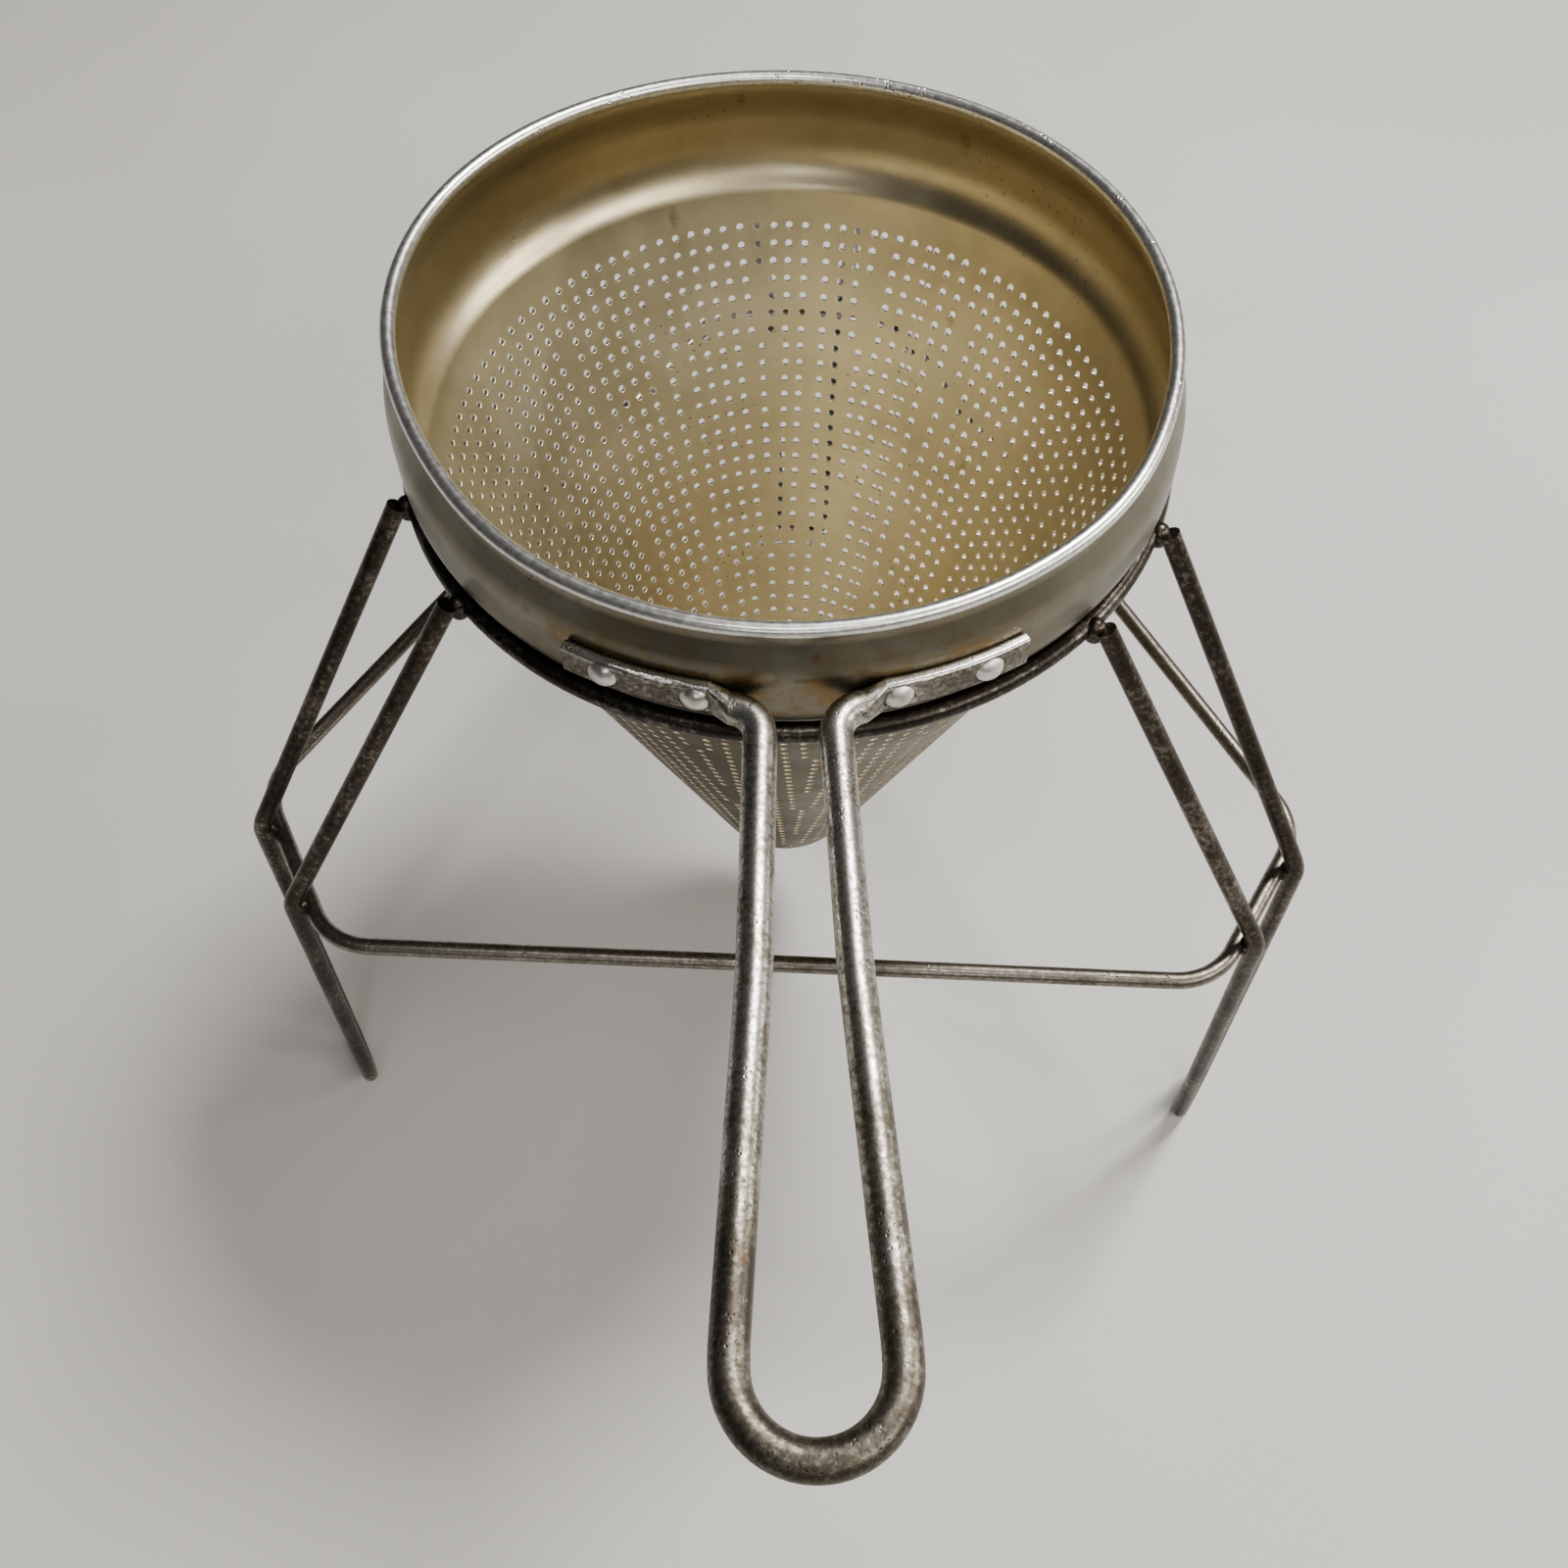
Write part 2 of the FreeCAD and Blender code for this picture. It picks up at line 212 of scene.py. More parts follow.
class Soup:
    """Triangles with a normal at each corner, gathered before the mesh is made."""

    def __init__(self):
        self.points, self.corners, self.normals, self.kinds = [], [], [], []
        self.count = 0

    def add_points(self, points):
        points = np.asarray(points, float).reshape(-1, 3)
        self.points.append(points)
        first = self.count
        self.count += len(points)
        return np.arange(first, self.count)

    def add_triangles(self, corners, normals, kind):
        corners = np.asarray(corners).reshape(-1, 3)
        self.corners.append(corners)
        self.normals.append(np.asarray(normals, float).reshape(-1, 3, 3))
        self.kinds.append(np.full(len(corners), kind))

    def add_strip(self, low, high, low_normals, high_normals, kind):
        """A closed band of quads between two rings of points."""
        l2, h2 = np.roll(low, -1), np.roll(high, -1)
        ln2, hn2 = np.roll(low_normals, -1, 0), np.roll(high_normals, -1, 0)
        self.add_triangles(
            np.stack([low, l2, h2], 1), np.stack([low_normals, ln2, hn2], 1), kind
        )
        self.add_triangles(
            np.stack([low, h2, high], 1), np.stack([low_normals, hn2, high_normals], 1), kind
        )

    def make(self, name, materials):
        points = np.concatenate(self.points)
        corners = np.concatenate(self.corners)
        normals = np.concatenate(self.normals)
        kinds = np.concatenate(self.kinds)
        a, b, c = (points[corners[:, k]] for k in range(3))
        face = np.cross(b - a, c - a)
        wrong = (face * normals.sum(1)).sum(1) < 0
        corners[wrong] = corners[wrong][:, ::-1]
        normals[wrong] = normals[wrong][:, ::-1]
        mesh = bpy.data.meshes.new(name)
        mesh.from_pydata((out_of_round(points) * MM).tolist(), [], corners.tolist())
        mesh.polygons.foreach_set("use_smooth", np.ones(len(corners), bool))
        mesh.polygons.foreach_set("material_index", kinds.astype(np.int32))
        lengths = np.linalg.norm(normals, axis=2, keepdims=True)
        mesh.normals_split_custom_set((normals / lengths).reshape(-1, 3).tolist())
        for material in materials:
            mesh.materials.append(material)
        mesh.update()
        obj = bpy.data.objects.new(name, mesh)
        bpy.context.scene.collection.objects.link(obj)
        return obj


def swept(r, z):
    """A radial and an upright part carried round the axis: a ring of points or of normals."""
    return np.stack([r * np.cos(ANGLES), r * np.sin(ANGLES), np.full(AROUND, z)], 1)


def double_columns(span, outermost):
    """(along, size) of the holes across the panel that was punched twice."""
    sides = [(DOUBLE_AFTER + DOUBLE_AFTER_PITCH * k, k) for k in range(int(outermost + 1.5))]
    sides += [(DOUBLE_BEFORE - COLUMN_PITCH * k, k) for k in range(int(outermost + 0.5))]
    start, end = DOUBLE_MARGINS
    return [
        (t, 1 if k else DOUBLE_FIRST_SIZE) for t, k in sides if start - span < t < span - end
    ]


def panel_columns(panel, outermost):
    """(along, size) of the holes across any other panel, in pairs from the middle."""
    push = PUSH if panel == PUSHED_PANEL else 0.0
    columns = []
    for k in range(int(outermost + 0.5)):
        step = k + 0.5
        shift = push if step < outermost else PUSH_OUTERMOST * push
        for side in (1, -1):
            columns.append((side * (step * COLUMN_PITCH + shift), 1))
    return columns


def hole_columns(row, radius):
    """(angle, size) of each hole in a row at this radius."""
    spots = []
    span = radius * math.pi / PANELS
    outermost = math.floor(span / COLUMN_PITCH - COLUMN_ROOM - 0.5) + 0.5
    paired = outermost > 0
    reach = outermost if paired else 0.0
    for panel in range(PANELS):
        edge = PANEL_START + 2 * math.pi * panel / PANELS
        middle = edge + math.pi / PANELS
        if panel == DOUBLE_PANEL:
            columns = double_columns(span, outermost)
        else:
            columns = panel_columns(panel, outermost)
        spots += [(middle + t / radius, size) for t, size in columns]
        # a column on the edge between panels, where there is room for one
        if span / COLUMN_PITCH - reach >= EDGE_ROOM or (not paired and row % 2 == 0):
            spots.append((edge, 1))
    return spots


def row_holes(row, radius):
    """(along, across, size) of each hole of a row, a little uneven; none touches the next."""
    holes = []
    for angle, size in hole_columns(row, radius):
        along = (angle - ANGLES[0]) % (2 * math.pi) * radius + rng.uniform(-HOLE_STRAY, HOLE_STRAY)
        across = rng.uniform(-ROW_STRAY, ROW_STRAY)
        holes.append((along, across, size * rng.uniform(*HOLE_SIZES)))
    holes.sort()
    clear = (HOLE_RADIUS + HOLE_LIP) * HOLE_GAP
    return [
        hole for k, hole in enumerate(holes)
        if k == 0 or hole[0] - holes[k - 1][0] > clear * (hole[2] + holes[k - 1][2])
    ]


def row_triangles(holes, radius):
    """Triangles of a row laid flat; corners number its low ring, its high ring, its holes."""
    turns = np.arange(AROUND + 1) * (2 * math.pi / AROUND)
    flat = [(t * radius, -ROW_PITCH / 2) for t in turns]
    flat += [(t * radius, ROW_PITCH / 2) for t in turns]
    edges = []
    for x, y, size in holes:
        first = len(flat)
        reach = (HOLE_RADIUS + HOLE_LIP) * size
        flat += [(x + reach * math.cos(t), y + reach * math.sin(t)) for t in HOLE_TURNS]
        edges += [(first + k, first + (k + 1) % HOLE_SIDES) for k in range(HOLE_SIDES)]
    cut = delaunay_2d_cdt([Vector(p) for p in flat], edges, [], 0, 1e-6)
    back = [ids[0] for ids in cut[3]]
    triangles = np.array([[back[v] for v in face] for face in cut[2]])
    rims = 2 * len(turns)
    owner = np.where(triangles >= rims, (triangles - rims) // HOLE_SIDES, -1)
    same = (owner[:, 0] == owner[:, 1]) & (owner[:, 0] == owner[:, 2])
    return triangles[~((owner[:, 0] >= 0) & same)]


def hole_loops(spots, slant, scale, depth):
    """Points and angles of loops round the holes, at a depth below the outer surface."""
    around = np.stack([np.cos(HOLE_TURNS), np.sin(HOLE_TURNS)], 1)
    xy = spots[:, None, :2] + around[None] * (scale * spots[:, 2])[:, None, None]
    a = ANGLES[0] + xy[..., 0].ravel() / (slant * CONE_SIN)
    s = slant + xy[..., 1].ravel()
    r = s * CONE_SIN - CONE_COS * depth
    z = CONE_APEX_Z + s * CONE_COS + CONE_SIN * depth
    return np.stack([r * np.cos(a), r * np.sin(a), z], 1), a


def add_row(soup, row, slant, above, below):
    """One row of holes: the two skins of the cone round them, and the wall of each hole."""
    holes = row_holes(row, slant * CONE_SIN)
    triangles = row_triangles(holes, slant * CONE_SIN)
    spots = np.array(holes)
    outer_loop, a = hole_loops(spots, slant, HOLE_RADIUS + HOLE_TAPER, 0.0)
    inner_loop, a = hole_loops(spots, slant, HOLE_RADIUS + HOLE_LIP, SHEET)
    throat, a = hole_loops(spots, slant, HOLE_RADIUS, SHEET - HOLE_THROAT)
    outward = np.stack([CONE_COS * np.cos(a), CONE_COS * np.sin(a), np.full(len(a), -CONE_SIN)], 1)
    walls = throat.reshape(-1, HOLE_SIDES, 3)
    spokes = walls - walls.mean(1)[:, None]
    spokes = (spokes / np.linalg.norm(spokes, axis=2, keepdims=True)).reshape(-1, 3)

    ids = {}
    for (kind, depth, side), points in zip(SKINS, (outer_loop, inner_loop)):
        ids[kind] = soup.add_points(points)
        table = np.concatenate([
            below[kind], below[kind][:1], above[kind], above[kind][:1], ids[kind],
        ])
        ring = swept(side * CONE_COS, -side * CONE_SIN)
        ring = np.concatenate([ring, ring[:1]])
        normals = np.concatenate([ring, ring, side * outward])
        soup.add_triangles(table[triangles], normals[triangles], kind)

    throat_ids = soup.add_points(throat)
    # the rounded inner edge faces mostly into the bowl and partly into the hole
    lip = -outward * 0.85 - spokes * 0.5
    for k in range(len(holes)):
        part = slice(k * HOLE_SIDES, (k + 1) * HOLE_SIDES)
        wall = -spokes[part]
        soup.add_strip(ids[OUTSIDE][part], throat_ids[part], wall, wall, BEAD)
        soup.add_strip(throat_ids[part], ids[INSIDE][part], wall, lip[part], BEAD)


def add_bead(soup, outer_neck, inner_neck):
    """The rolled bead, from the outer neck over the top to the inner neck."""
    centre_r, centre_z = RIM_RADIUS - RIM_BEAD, RIM_TOP - RIM_BEAD
    begin = math.asin(SHEET / 2 / RIM_BEAD)
    first_turn = -math.pi / 2 + begin
    last = outer_neck
    last_n = swept(math.cos(first_turn), math.sin(first_turn))
    for k in range(1, BEAD_PARTS + 1):
        turn = first_turn + (2 * math.pi - 2 * begin) * k / BEAD_PARTS
        n = swept(math.cos(turn), math.sin(turn))
        if k == BEAD_PARTS:
            now = inner_neck
        else:
            r = centre_r + RIM_BEAD * math.cos(turn)
            z = centre_z + RIM_BEAD * math.sin(turn)
            now = soup.add_points(swept(r, z))
        soup.add_strip(last, now, last_n, n, BEAD)
        last, last_n = now, n


def revolve(soup, profile, kind, depth, side):
    """The profile turned round the axis, at a depth below the outer surface."""
    rings = []
    for r, z, nr, nz in profile:
        length = math.hypot(nr, nz)
        nr, nz = nr / length, nz / length
        r, z = r - nr * depth, z - nz * depth
        if r < ON_AXIS:
            rings.append((soup.add_points([(0, 0, z)]), None))
        else:
            rings.append((soup.add_points(swept(r, z)), swept(side * nr, side * nz)))
    for (low, low_n), (high, high_n) in zip(rings, rings[1:]):
        if low_n is None:
            tip = np.full(AROUND, low[0])
            down = np.tile([0.0, 0.0, -1.0 * side], (AROUND, 1))
            corners = np.stack([tip, np.roll(high, -1), high], 1)
            soup.add_triangles(corners, np.stack([down, np.roll(high_n, -1, 0), high_n], 1), kind)
        else:
            soup.add_strip(low, high, low_n, high_n, kind)
    return [ids for ids, normals in rings]


def make_shell(materials):
    """The whole strainer shell: nose, perforated cone, bowl and bead in one closed skin."""
    soup = Soup()
    profile = rounded(shell_corners(), BEND_PARTS)
    low_z, top_z = cone_point(LOW_EDGE)[1], cone_point(TOP_EDGE)[1]
    nose = profile[:1] + [p for p in profile if p[0] > ON_AXIS and p[1] < low_z - EDGE_CLEAR]
    bowl = in_steps([p for p in profile if p[1] > top_z + EDGE_CLEAR], BOWL_STEP)

    nose_edge, bowl_edge, neck = {}, {}, {}
    for kind, depth, side in SKINS:
        nose_rings = revolve(soup, nose + [cone_point(LOW_EDGE)], kind, depth, side)
        bowl_rings = revolve(soup, [cone_point(TOP_EDGE)] + bowl, kind, depth, side)
        nose_edge[kind] = nose_rings[-1]
        bowl_edge[kind] = bowl_rings[0]
        neck[kind] = bowl_rings[-1]
    add_bead(soup, neck[OUTSIDE], neck[INSIDE])

    above = bowl_edge
    for row in range(ROWS):
        slant = TOP_ROW - row * ROW_PITCH
        below = nose_edge
        if row < ROWS - 1:
            r, z, nr, nz = cone_point(slant - ROW_PITCH / 2)
            below = {
                kind: soup.add_points(swept(r - nr * depth, z - nz * depth))
                for kind, depth, side in SKINS
            }
        add_row(soup, row, slant, above, below)
        above = below
    return soup.make("perforated_shell", materials)


# ---- materials ------------------------------------------------------------------------
class Finish:
    """One procedural material; textures run in the object's own coordinates, in metres."""

    def __init__(self, name, metallic=1.0):
        self.material = bpy.data.materials.new(name)
        self.material.use_nodes = True
        self.nodes = self.material.node_tree.nodes
        self.links = self.material.node_tree.links
        self.nodes.clear()
        self.output = self.nodes.new("ShaderNodeOutputMaterial")
        self.shader = self.nodes.new("ShaderNodeBsdfPrincipled")
        self.shader.inputs["Metallic"].default_value = metallic
        self.links.new(self.shader.outputs[0], self.output.inputs[0])
        self.coords = self.nodes.new("ShaderNodeTexCoord").outputs["Object"]
        split = self.nodes.new("ShaderNodeSeparateXYZ")
        self.links.new(self.coords, split.inputs[0])
        self.x, self.y, self.z = split.outputs
        self.heights = []

    def plug(self, socket, value):
        if hasattr(value, "is_output"):
            self.links.new(value, socket)
        elif isinstance(value, tuple) and len(value) == 3:
            socket.default_value = (*value, 1.0) if len(socket.default_value) == 4 else value
        else:
            socket.default_value = value

    def math(self, operation, a, b=0.0):
        node = self.nodes.new("ShaderNodeMath")
        node.operation = operation
        self.plug(node.inputs[0], a)
        self.plug(node.inputs[1], b)
        return node.outputs[0]

    def place(self, x, y, z):
        node = self.nodes.new("ShaderNodeCombineXYZ")
        for socket, value in zip(node.inputs, (x, y, z)):
            self.plug(socket, value)
        return node.outputs[0]

    def radius(self):
        """Distance from the axis."""
        return self.math(
            "SQRT", self.math("ADD", self.math("MULTIPLY", self.x, self.x),
                              self.math("MULTIPLY", self.y, self.y))
        )

    def moved(self, offset, stretch=(1.0, 1.0, 1.0)):
        """The object's coordinates, shifted and stretched, for a pattern of its own."""
        node = self.nodes.new("ShaderNodeMapping")
        self.plug(node.inputs["Vector"], self.coords)
        node.inputs["Location"].default_value = offset
        node.inputs["Scale"].default_value = stretch
        return node.outputs[0]

    def noise(self, scale, detail=5.0, rough=0.55, where=None, distort=0.0):
        node = self.nodes.new("ShaderNodeTexNoise")
        self.plug(node.inputs["Vector"], self.coords if where is None else where)
        node.inputs["Scale"].default_value = scale
        node.inputs["Detail"].default_value = detail
        node.inputs["Roughness"].default_value = rough
        node.inputs["Distortion"].default_value = distort
        return node.outputs[0]

    def spots(self, scale, low, high, where=None):
        """1 in small round spots, 0 between them."""
        node = self.nodes.new("ShaderNodeTexVoronoi")
        self.plug(node.inputs["Vector"], self.coords if where is None else where)
        node.inputs["Scale"].default_value = scale
        return self.span(node.outputs["Distance"], low, high, 1.0, 0.0)

    def span(self, value, low, high, first=0.0, last=1.0):
        """From first to last, softly, as the value goes from low to high."""
        node = self.nodes.new("ShaderNodeMapRange")
        node.interpolation_type = "SMOOTHSTEP"
        self.plug(node.inputs["Value"], value)
        for name, number in (("From Min", low), ("From Max", high),
                             ("To Min", first), ("To Max", last)):
            node.inputs[name].default_value = number
        return node.outputs[0]

    def mix(self, share, a, b):
        node = self.nodes.new("ShaderNodeMix")
        node.data_type = "RGBA"
        self.plug(node.inputs["Factor"], share)
        self.plug(node.inputs[6], a)
        self.plug(node.inputs[7], b)
        return node.outputs[2]

    def ramp(self, value, *stops):
        node = self.nodes.new("ShaderNodeValToRGB")
        self.plug(node.inputs[0], value)
        while len(node.color_ramp.elements) < len(stops):
            node.color_ramp.elements.new(0.5)
        for element, (at, colour) in zip(node.color_ramp.elements, stops):
            element.position = at
            element.color = (*colour, 1.0)
        return node.outputs[0]

    def bump(self, height, metres):
        """Relief of this many metres, on top of the reliefs already there."""
        node = self.nodes.new("ShaderNodeBump")
        node.inputs["Strength"].default_value = 1.0
        node.inputs["Distance"].default_value = metres
        self.plug(node.inputs["Height"], height)
        if self.heights:
            self.links.new(self.heights[-1], node.inputs["Normal"])
        self.heights.append(node.outputs[0])

    def finish(self, colour, roughness, metallic=None):
        self.plug(self.shader.inputs["Base Color"], colour)
        self.plug(self.shader.inputs["Roughness"], roughness)
        if metallic is not None:
            self.plug(self.shader.inputs["Metallic"], metallic)
        if self.heights:
            self.links.new(self.heights[-1], self.shader.inputs["Normal"])
        return self.material


def shell_inside():
    """Satin spun aluminium with a warm golden film, fine turning lines and dark specks; the wall
    and the top of the cone are painted darker, as painted shade.
    """
    f = Finish("aluminium_golden_inside")
    lines = f.noise(1.0, 6.0, 0.65, f.place(0.0, f.math("MULTIPLY", f.radius(), 380.0),
                                            f.math("MULTIPLY", f.z, 900.0)))
    cloud = f.noise(30.0, 8.0, 0.68)
    cone = f.ramp(cloud, (0.30, (0.46, 0.402, 0.265)), (0.52, (0.55, 0.492, 0.345)),
                  (0.74, (0.63, 0.572, 0.43)))
    # the wall colour is darker and browner than the cone's: painted shade for the shaded cone that
    # the wall reflects
    wall = f.ramp(cloud, (0.30, (0.30, 0.245, 0.135)), (0.52, (0.36, 0.30, 0.175)),
                  (0.74, (0.42, 0.36, 0.225)))
    # from high on the cone upwards, and again above the ledge, the colour turns to the darker wall
    # colour: painted shade
    above = f.math("ADD", f.span(f.z, 0.205, 0.240, 0.0, 0.55),
                   f.span(f.z, 0.250, 0.262, 0.0, 0.45))
    colour = f.mix(above, cone, wall)
    grime = f.noise(60.0, 7.0, 0.72)
    colour = f.mix(f.span(grime, 0.55, 0.74, 0.0, 0.40), colour, (0.36, 0.275, 0.145))
    specks = f.math("MULTIPLY", f.spots(340.0, 0.08, 0.20), f.span(f.noise(24.0), 0.54, 0.64))
    colour = f.mix(f.math("MULTIPLY", specks, 0.8), colour, (0.15, 0.10, 0.05))
    runs = f.spots(75.0, 0.03, 0.16, f.moved((5.0, 2.0, 1.0), (1.0, 1.0, 0.32)))
    runs = f.math("MULTIPLY", runs, f.span(f.noise(18.0), 0.52, 0.60))
    runs = f.math("MULTIPLY", runs, f.span(f.noise(300.0, 6.0, 0.7), 0.40, 0.60, 0.3, 0.85))
    colour = f.mix(runs, colour, (0.17, 0.115, 0.050))
    rough = f.math("ADD", f.span(f.noise(34.0, 6.0, 0.6), 0.35, 0.65, 0.0, 0.07),
                   f.span(f.z, 0.236, 0.250, 0.42, 0.31))
    f.bump(lines, 0.00002)
    f.bump(f.noise(420.0, 4.0, 0.6), 0.00002)
    f.bump(specks, -0.00006)
    return f.finish(colour, rough)


def shell_outside():
    """Duller grey aluminium, turned and scuffed, stained by the tabs; low on the cone it is
    painted darker and tan, a painted reflection of a shaded brown floor.
    """
    f = Finish("aluminium_grey_outside")
    lines = f.noise(1.0, 6.0, 0.65, f.place(0.0, f.math("MULTIPLY", f.radius(), 300.0),
                                            f.math("MULTIPLY", f.z, 700.0)))
    cloud = f.noise(26.0, 7.0, 0.62, distort=0.3)
    wall = f.ramp(cloud, (0.30, (0.125, 0.114, 0.080)), (0.52, (0.17, 0.157, 0.118)),
                  (0.74, (0.24, 0.228, 0.185)))
    # the cone colour is darker and tan: a painted reflection of a shaded brown floor
    cone = f.ramp(cloud, (0.30, (0.080, 0.066, 0.038)), (0.52, (0.115, 0.098, 0.060)),
                  (0.74, (0.17, 0.150, 0.100)))
    colour = f.mix(f.span(f.z, 0.240, 0.254), cone, wall)
    near = f.math("MULTIPLY", f.span(f.y, -0.070, -0.092), f.span(f.z, 0.249, 0.256))
    tabs = f.math("MULTIPLY", near, f.span(f.z, 0.2735, 0.266, 0.35, 1.0))
    stain = f.math("MULTIPLY", tabs, f.span(f.noise(120.0, 8.0, 0.74), 0.42, 0.62))
    colour = f.mix(f.math("MULTIPLY", stain, 0.85), colour, (0.165, 0.100, 0.030))
    rusty = f.math("MULTIPLY", near, f.spots(150.0, 0.05, 0.30))
    rusty = f.math("MULTIPLY", rusty, f.span(f.noise(70.0), 0.50, 0.60))
    colour = f.mix(f.math("MULTIPLY", rusty, 0.9), colour, (0.150, 0.085, 0.025))
    line = f.math("MULTIPLY", f.span(f.z, 0.2668, 0.2674), f.span(f.z, 0.2688, 0.2680))
    line = f.math("MULTIPLY", line, f.span(f.noise(150.0, 7.0, 0.72), 0.40, 0.56))
    line = f.math("MULTIPLY", line, f.span(f.y, -0.086, -0.092))
    colour = f.mix(f.math("MULTIPLY", line, 0.8), colour, (0.130, 0.080, 0.028))
    grime = f.noise(80.0, 7.0, 0.7, f.moved((3.0, 1.0, 2.0), (1.0, 1.0, 0.4)))
    colour = f.mix(f.span(grime, 0.56, 0.76, 0.0, 0.40), colour, (0.25, 0.20, 0.125))
    pits = f.math("MULTIPLY", f.spots(420.0, 0.08, 0.2), f.span(f.noise(35.0), 0.52, 0.62))
    colour = f.mix(pits, colour, (0.10, 0.085, 0.065))
    rough = f.math("ADD", f.span(f.noise(38.0, 5.0, 0.6), 0.35, 0.65, 0.0, 0.12),
                   f.span(f.z, 0.240, 0.254, 0.44, 0.30))
    f.bump(lines, 0.00002)
    f.bump(f.noise(360.0, 4.0, 0.6), 0.000025)
    f.bump(pits, -0.00008)
    return f.finish(colour, rough)


def shell_bead():
    """Worn bright rim, nicked and pitted behind, and warm hole edges a little duller than the rim,
    made pale as a painted highlight for their glint and the light seen through the holes.
    """
    f = Finish("aluminium_worn_bead")
    cloud = f.noise(650.0, 6.0, 0.7)
    worn = f.ramp(cloud, (0.34, (0.56, 0.545, 0.50)), (0.5, (0.76, 0.75, 0.72)),
                  (0.66, (0.86, 0.86, 0.84)))
    # the hole edges below get a pale warm colour: painted highlight for the glint on the edges and
    # the lit inside seen through the holes; the warm tint is the aluminium's own
    colour = f.mix(f.span(f.z, 0.262, 0.272), (0.82, 0.75, 0.58), worn)
    pits = f.math("MULTIPLY", f.spots(700.0, 0.10, 0.32), f.span(f.noise(75.0), 0.49, 0.60))
    behind = f.span(f.y, -0.060, -0.020)
    pits = f.math("MULTIPLY", pits, behind)
    colour = f.mix(f.math("MULTIPLY", pits, 0.8), colour, (0.13, 0.10, 0.07))
    rough = f.span(f.noise(520.0, 5.0, 0.6), 0.35, 0.65, 0.28, 0.34)
    f.bump(f.noise(950.0, 4.0, 0.6), 0.000022)
    f.bump(pits, -0.00010)
    return f.finish(colour, rough)


def handle_steel():
    """Old plated steel rod: worn bright plating speckled with patina, dark at the loop."""
    f = Finish("steel_patina_handle")
    broad = f.noise(60.0, 6.0, 0.66)
    fine = f.noise(760.0, 6.0, 0.74)
    share = f.math("ADD", f.math("MULTIPLY", broad, 0.42), f.math("MULTIPLY", fine, 0.58))
    share = f.math("ADD", share, f.span(f.y, -0.165, -0.250, 0.0, 0.13))
    tab = f.math("MULTIPLY", f.span(f.y, -0.108, -0.098), f.span(f.z, 0.2667, 0.2650))
    share = f.math("ADD", share, f.math("MULTIPLY", tab, 0.085))
    worn = f.math("MULTIPLY", f.span(f.z, 0.2662, 0.2668), -0.07)
    share = f.math("ADD", share, worn)
    colour = f.ramp(share, (0.41, (0.58, 0.565, 0.53)), (0.49, (0.38, 0.365, 0.33)),
                    (0.555, (0.17, 0.152, 0.122)), (0.66, (0.065, 0.055, 0.043)))
    rust = f.math("MULTIPLY", f.span(f.noise(260.0, 7.0, 0.74), 0.58, 0.68), 0.5)
    colour = f.mix(rust, colour, (0.15, 0.080, 0.036))
    pits = f.math("MULTIPLY", f.spots(900.0, 0.10, 0.34), f.span(f.noise(130.0), 0.50, 0.62))
    colour = f.mix(f.math("MULTIPLY", pits, 0.8), colour, (0.05, 0.04, 0.032))
    rough = f.span(share, 0.40, 0.66, 0.26, 0.42)
    f.bump(f.noise(700.0, 5.0, 0.7), 0.00005)
    f.bump(fine, -0.00005)
    f.bump(pits, -0.00007)
    return f.finish(colour, rough)


def stand_steel(name, dark, middle, bright, rust_share, wear):
    """Bare steel wire gone dark: worn glints, brown rust bloom and fine pitting."""
    f = Finish(name)
    cloud = f.noise(60.0, 6.0, 0.6)
    grain = f.noise(640.0, 6.0, 0.74)
    share = f.math("ADD", f.math("MULTIPLY", cloud, 0.42), f.math("MULTIPLY", grain, 0.58))
    colour = f.ramp(share, (0.38, dark), (0.52, middle), (0.52 + wear, bright))
    rust = f.span(f.noise(90.0, 7.0, 0.7, f.moved((7.0, 3.0, 1.0))), 0.64 - rust_share,
                  0.76 - rust_share)
    fine = f.span(f.noise(620.0, 5.0, 0.7), 0.40, 0.60)
    rust = f.math("MULTIPLY", rust, fine)
    colour = f.mix(f.math("MULTIPLY", rust, 0.7), colour, (0.090, 0.046, 0.022))
    pits = f.math("MULTIPLY", f.spots(900.0, 0.12, 0.34), f.span(f.noise(120.0), 0.50, 0.62))
    colour = f.mix(pits, colour, (0.014, 0.012, 0.010))
    rough = f.math("ADD", f.span(share, 0.36, 0.64, 0.40, 0.28),
                   f.math("MULTIPLY", rust, 0.34))
    metal = f.span(rust, 0.0, 1.0, 1.0, 0.35)
    f.bump(f.noise(700.0, 5.0, 0.7), 0.00006)
    f.bump(rust, 0.00008)
    f.bump(pits, -0.00008)
    return f.finish(colour, rough, metal)


def rivet_aluminium():
    """Soft dull aluminium, dented by the hammer."""
    f = Finish("aluminium_rivet")
    cloud = f.noise(320.0, 6.0, 0.65)
    colour = f.ramp(cloud, (0.36, (0.44, 0.42, 0.37)), (0.5, (0.68, 0.67, 0.63)),
                    (0.66, (0.78, 0.78, 0.75)))
    rough = f.span(f.noise(300.0, 4.0, 0.6), 0.35, 0.65, 0.28, 0.44)
    f.bump(f.noise(210.0, 3.0, 0.5), 0.00018)
    f.bump(f.noise(900.0, 4.0, 0.6), 0.00004)
    return f.finish(colour, rough)


def floor_finish():
    """Plain pale matt ground."""
    f = Finish("pale_floor", metallic=0.0)
    colour = f.ramp(f.noise(2.5, 3.0, 0.5), (0.35, (0.43, 0.414, 0.396)),
                    (0.65, (0.48, 0.464, 0.446)))
    return f.finish(colour, 0.62)


# ---- the object -----------------------------------------------------------------------
shell = make_shell([shell_inside(), shell_outside(), shell_bead()])
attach(shell, "strainer")
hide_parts("strainer_shell")

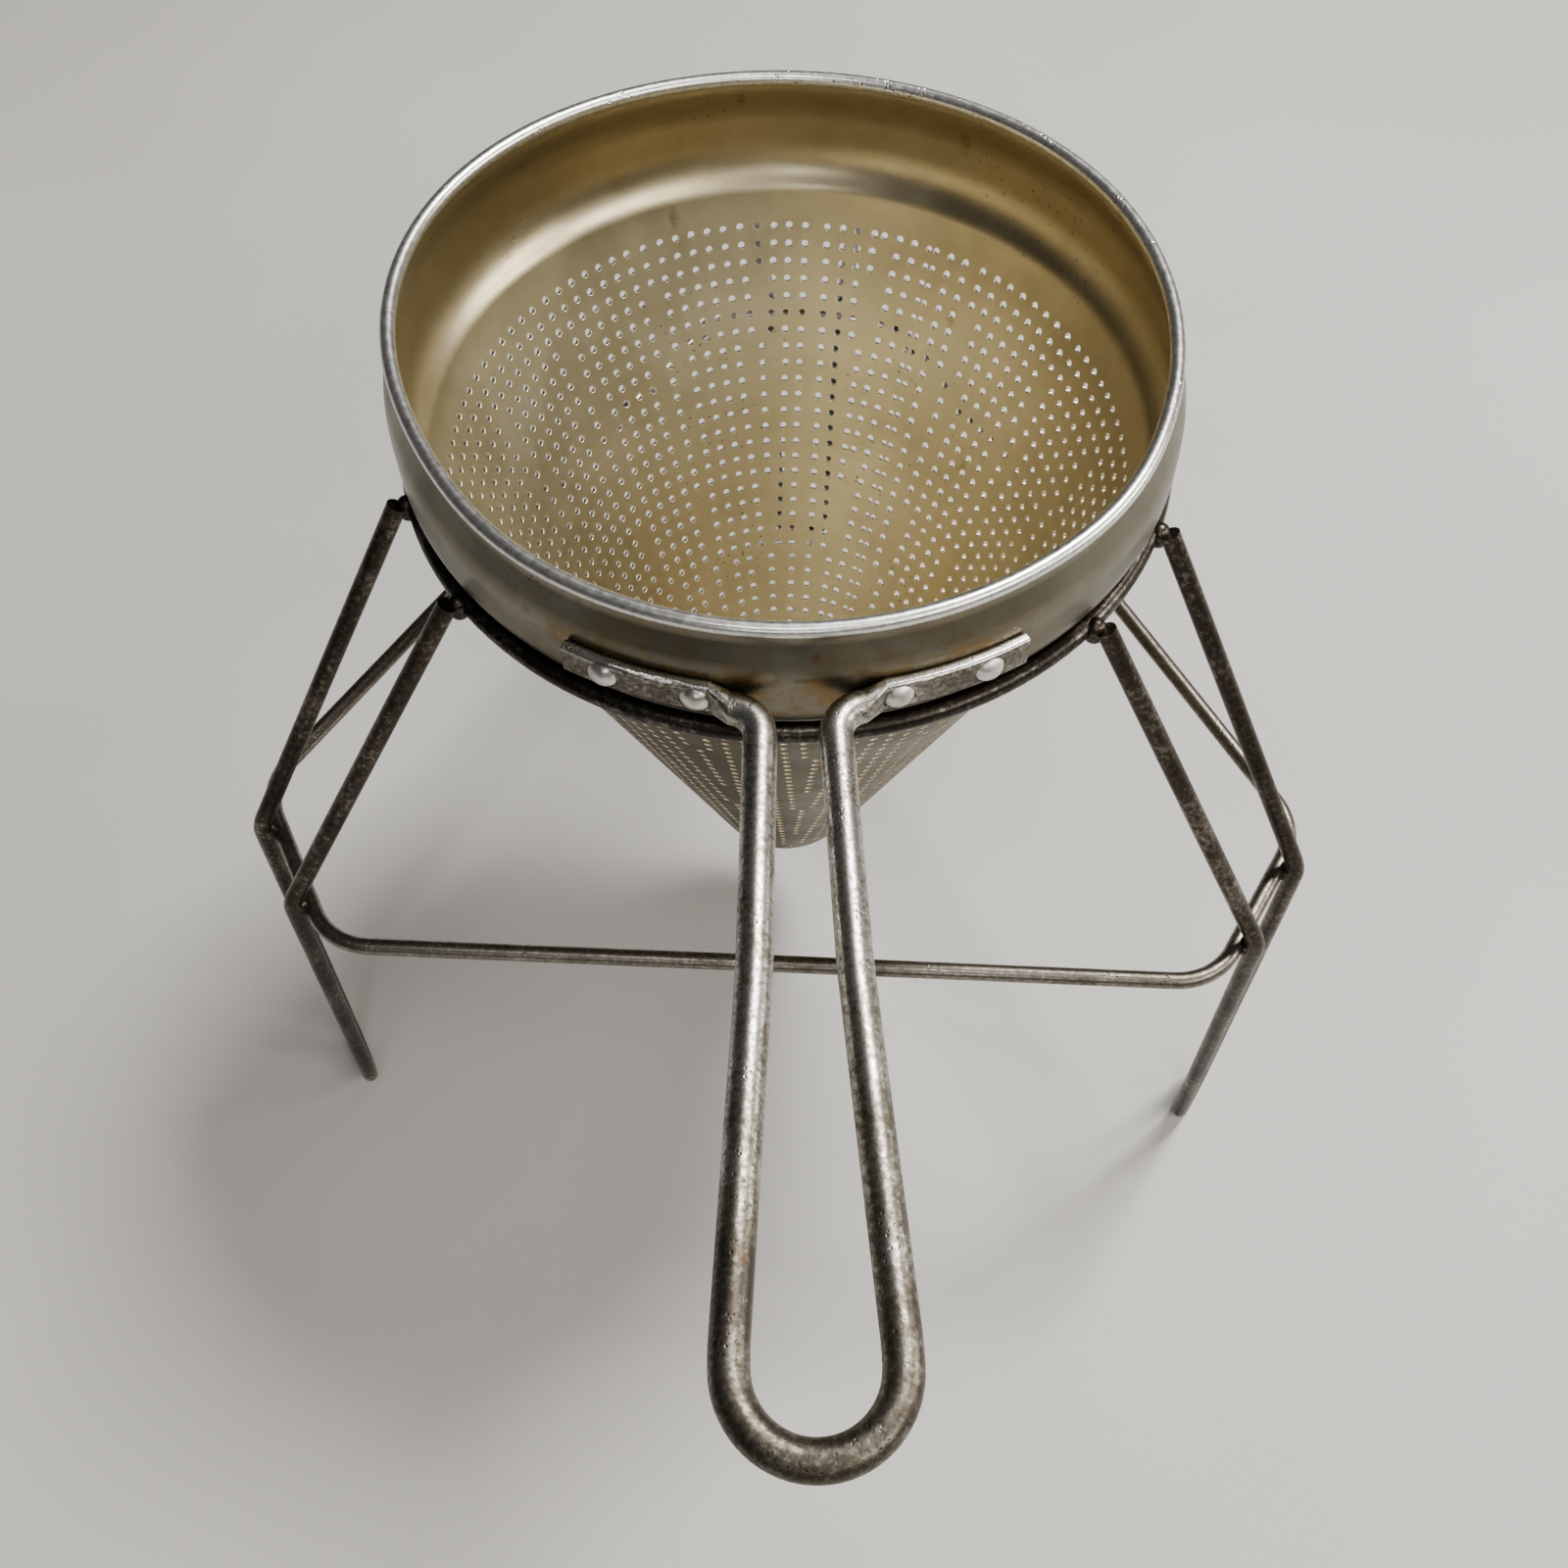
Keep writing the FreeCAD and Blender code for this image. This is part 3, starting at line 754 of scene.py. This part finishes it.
leg_steel = stand_steel("steel_dark_legs", (0.022, 0.017, 0.013), (0.050, 0.040, 0.031),
                        (0.24, 0.215, 0.18), 0.06, 0.15)
finishes = {
    "handle": handle_steel(),
    "stand_ring": stand_steel("steel_black_ring", (0.020, 0.017, 0.014),
                              (0.040, 0.034, 0.028), (0.22, 0.205, 0.18), 0.02, 0.17),
    "brace": stand_steel("steel_grey_brace", (0.095, 0.080, 0.064), (0.20, 0.178, 0.148),
                         (0.38, 0.35, 0.31), 0.05, 0.15),
    "leg_rear": leg_steel,
    "leg_left": leg_steel,
    "leg_right": leg_steel,
}
rivet = rivet_aluminium()
for name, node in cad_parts.items():
    if name == "strainer_shell":
        continue
    material = rivet if name.startswith("rivet_") else finishes[name]
    for slot in node.material_slots:
        slot.link = "OBJECT"
        slot.material = material

# ---- ground, light and camera ---------------------------------------------------------
# Metres and watts; the lens and its frame are in millimetres.
GROUND_REACH = 3
DAYLIGHT = (1.0, 0.985, 0.96)
WARM_LIGHT = (1.0, 0.965, 0.88)
SOFTBOXES = (                 # name, place, aim, width, depth, watts, colour
    ("key_light", (0.75, 0.75, 2.0), (0, 0, 0.1), 0.5, 0.5, 76.0, DAYLIGHT),
    ("window_light", (1.9, 0.1, 0.95), (0, 0, 0.2), 1.0, 0.5, 22.0, WARM_LIGHT),
    ("corner_light", (1.35, -1.05, 1.5), (0, 0, 0.2), 1.3, 0.4, 24.0, WARM_LIGHT),
    ("front_light", (0.1, -2.1, 1.3), (0, 0, 0.2), 0.9, 0.35, 6.0, DAYLIGHT),
    ("near_light", (0.1, -0.8, 2.1), (0, -0.45, 0.0), 0.7, 0.5, 10.0, DAYLIGHT),
)
WORLD_GREY = 0.84
WORLD_STRENGTH = 0.075
CAMERA_PLACE = (0.011691, -0.293934, 0.540616)
CAMERA_YAW = math.radians(-2.36)
CAMERA_PITCH = math.radians(58.25)
CAMERA_ROLL = math.radians(0.279)
LENS_LENGTH = 35.58
FRAME_WIDTH = 36.0


def make_ground():
    mesh = bpy.data.meshes.new("ground")
    low, high = -GROUND_REACH, GROUND_REACH
    corners = [(low, low, 0), (high, low, 0), (high, high, 0), (low, high, 0)]
    mesh.from_pydata(corners, [], [(0, 1, 2, 3)])
    mesh.materials.append(floor_finish())
    ground = bpy.data.objects.new("ground", mesh)
    bpy.context.scene.collection.objects.link(ground)
    return ground


def aimed(position, target):
    """Placement at a position, looking at a target."""
    away = Vector(position) - Vector(target)
    turn = away.to_track_quat("Z", "Y").to_matrix().to_4x4()
    return Matrix.Translation(position) @ turn


def softbox(name, position, target, width, depth, watts, colour):
    data = bpy.data.lights.new(name, "AREA")
    data.shape = "RECTANGLE"
    data.size = width
    data.size_y = depth
    data.energy = watts
    data.color = colour
    lamp = bpy.data.objects.new(name, data)
    bpy.context.scene.collection.objects.link(lamp)
    lamp.matrix_world = aimed(position, target)


def make_world():
    world = bpy.data.worlds.new("studio")
    world.use_nodes = True
    background = world.node_tree.nodes["Background"]
    background.inputs["Color"].default_value = (WORLD_GREY, WORLD_GREY, WORLD_GREY, 1)
    background.inputs["Strength"].default_value = WORLD_STRENGTH
    return world


def make_camera():
    """Yaw turns it from +Y, pitch looks down, roll turns it about its own line of sight."""
    yaw, pitch, roll = CAMERA_YAW, CAMERA_PITCH, CAMERA_ROLL
    flat = math.cos(pitch)
    forward = Vector((math.sin(yaw) * flat, math.cos(yaw) * flat, -math.sin(pitch)))
    level = Vector((math.cos(yaw), -math.sin(yaw), 0))
    up = level.cross(forward)
    right_rolled = math.cos(roll) * level + math.sin(roll) * up
    up_rolled = math.cos(roll) * up - math.sin(roll) * level
    lens = bpy.data.cameras.new("camera")
    lens.sensor_width = FRAME_WIDTH
    lens.lens = LENS_LENGTH
    lens.clip_start = 0.01
    camera = bpy.data.objects.new("camera", lens)
    bpy.context.scene.collection.objects.link(camera)
    place = Matrix((right_rolled, up_rolled, -forward)).transposed().to_4x4()
    place.translation = CAMERA_PLACE
    camera.matrix_world = place
    return camera


floor = make_ground()
for lamp in SOFTBOXES:
    softbox(*lamp)
bpy.context.scene.world = make_world()
bpy.context.scene.camera = make_camera()
